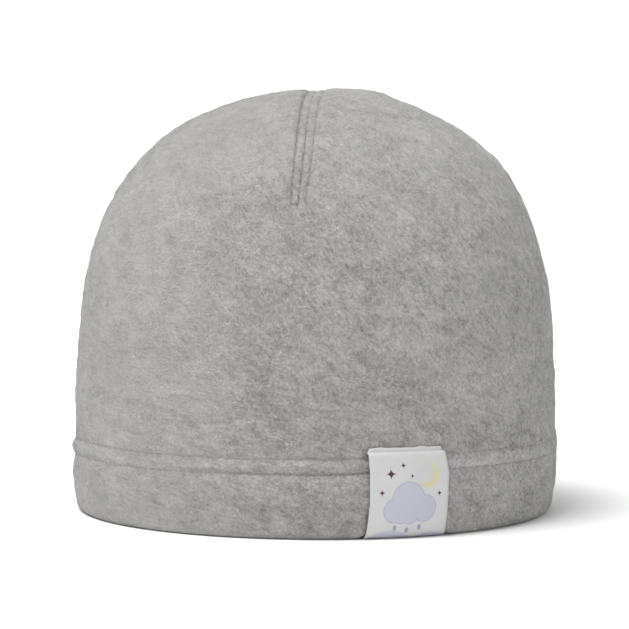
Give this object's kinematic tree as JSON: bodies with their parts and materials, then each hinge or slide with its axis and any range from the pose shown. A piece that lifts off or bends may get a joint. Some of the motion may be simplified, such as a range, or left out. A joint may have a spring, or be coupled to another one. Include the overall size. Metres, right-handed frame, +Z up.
{
  "type": "baby beanie hat",
  "caption": "Soft fleece beanie for a baby, with a rounded crown, a dart and seam over the top, a turned-up stitched hem and a ribbon label folded round the rim.",
  "frame": {"origin": "middle of the rim, on the surface that the hat stands on", "axes": "+Z up from the rim to the crown, -Y the front of the hat with the dart and the label, +X to the right as seen from the front"},
  "size_m": [0.1498, 0.1675, 0.1283],
  "materials": {
    "fleece": "matte melange fleece",
    "ribbon": "woven satin ribbon"
  },
  "bodies": {
    "root": {"crown_and_hem": "fleece", "label": "ribbon"}
  },
  "joints": []
}
